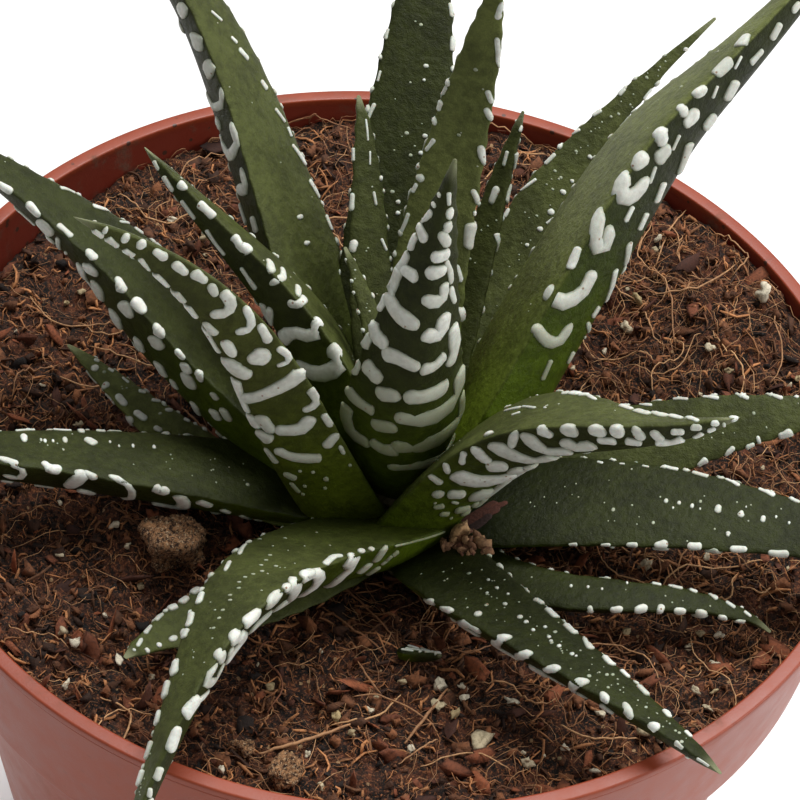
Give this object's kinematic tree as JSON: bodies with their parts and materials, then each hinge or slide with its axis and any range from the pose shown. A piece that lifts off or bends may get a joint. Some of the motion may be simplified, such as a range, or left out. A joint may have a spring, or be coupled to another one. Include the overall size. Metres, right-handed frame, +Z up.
{
  "type": "potted haworthia",
  "caption": "Small rosette succulent: thick pointed leaves with white bands and toothed margins, on a short stem in soil, in a tapered round nursery pot with a wide collar.",
  "frame": {"origin": "middle of the pot's flat underside", "axes": "+Z up along the pot's axis; -Y towards the side seen in the picture; +X to the right in that view"},
  "size_m": [0.132, 0.1305, 0.1571],
  "materials": {
    "leaf": "smooth waxy dark green skin, yellower at the foot, with raised white tubercles",
    "leaf_dry": "papery, bleached, dull",
    "stem": "fleshy, dull",
    "soil": "loose peat and coir crumbs, dull",
    "pot": "terracotta-coloured moulded plastic, satin"
  },
  "bodies": {
    "root": {"pot": "pot", "soil": "soil", "stem": "stem", "leaf_left_banded": "leaf", "leaf_right_banded": "leaf", "leaf_centre": "leaf", "leaf_left_slim": "leaf", "leaf_back_upright": "leaf", "leaf_right_narrow": "leaf", "leaf_young": "leaf", "leaf_back_narrow": "leaf", "leaf_back_left": "leaf", "leaf_back": "leaf", "leaf_back_right": "leaf", "leaf_right_long": "leaf", "leaf_left_long": "leaf", "leaf_left_low": "leaf", "leaf_front_left": "leaf", "leaf_right_low": "leaf", "leaf_right": "leaf", "leaf_front_right": "leaf", "leaf_left_small": "leaf", "leaf_front_left_small": "leaf", "leaf_front_right_small": "leaf", "leaf_tip_dead": "leaf_dry"}
  },
  "joints": []
}
